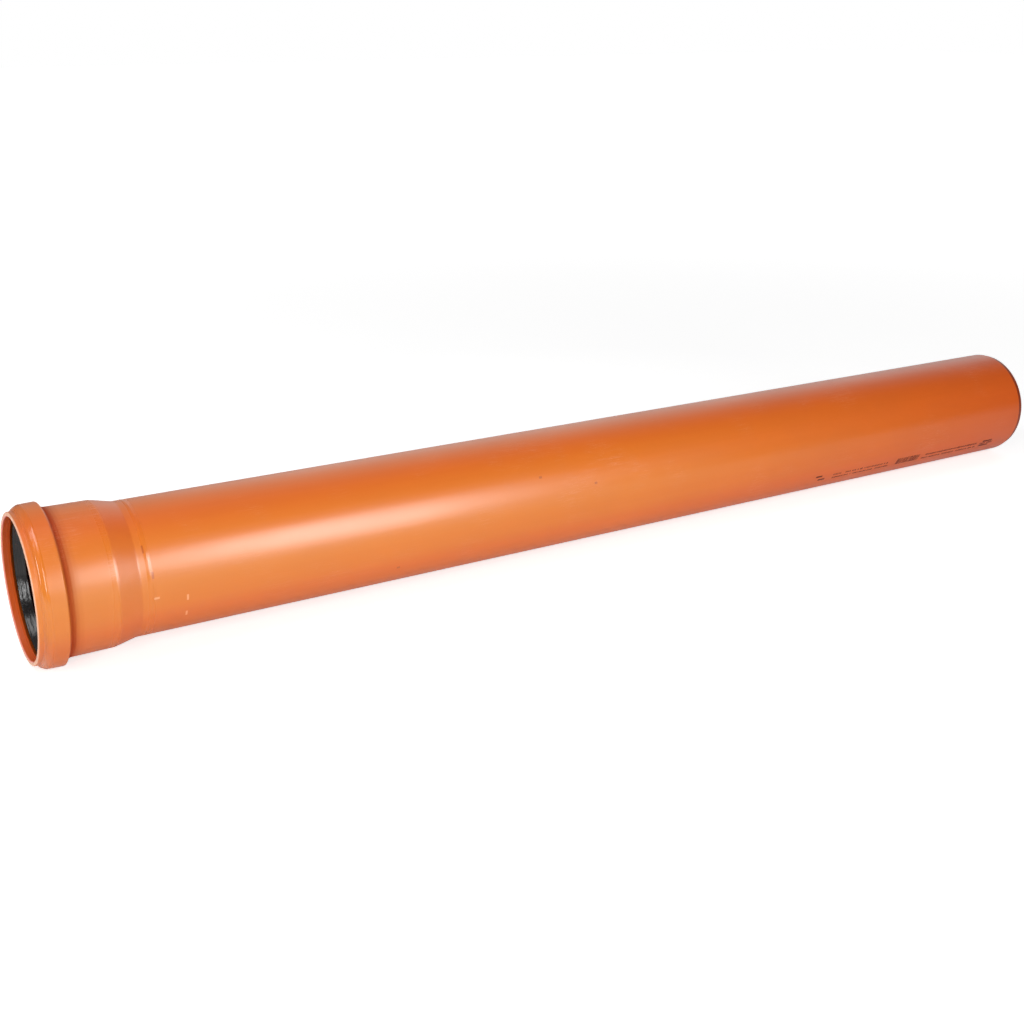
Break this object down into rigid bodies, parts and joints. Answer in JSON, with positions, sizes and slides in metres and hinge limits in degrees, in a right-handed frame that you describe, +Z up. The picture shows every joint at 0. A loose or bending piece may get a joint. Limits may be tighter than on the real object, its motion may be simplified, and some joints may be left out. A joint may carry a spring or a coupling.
{
  "type": "plastic sewer pipe",
  "caption": "Straight orange-brown plastic drain pipe with a belled socket and rubber lip seal at one end and a chamfered spigot at the other.",
  "frame": {"origin": "bottom centre of the box round the pipe as it lies, on the floor under the middle of its length", "axes": "+X along the pipe from the socket toward the spigot, running down by the small angle at which the pipe rests on its bead and its spigot; +Z up"},
  "size_m": [1.071, 0.1294, 0.1295],
  "materials": {
    "pvc": "satin",
    "rubber": "matte"
  },
  "bodies": {
    "root": {"pipe": "pvc", "seal_ring": "rubber"}
  },
  "joints": []
}
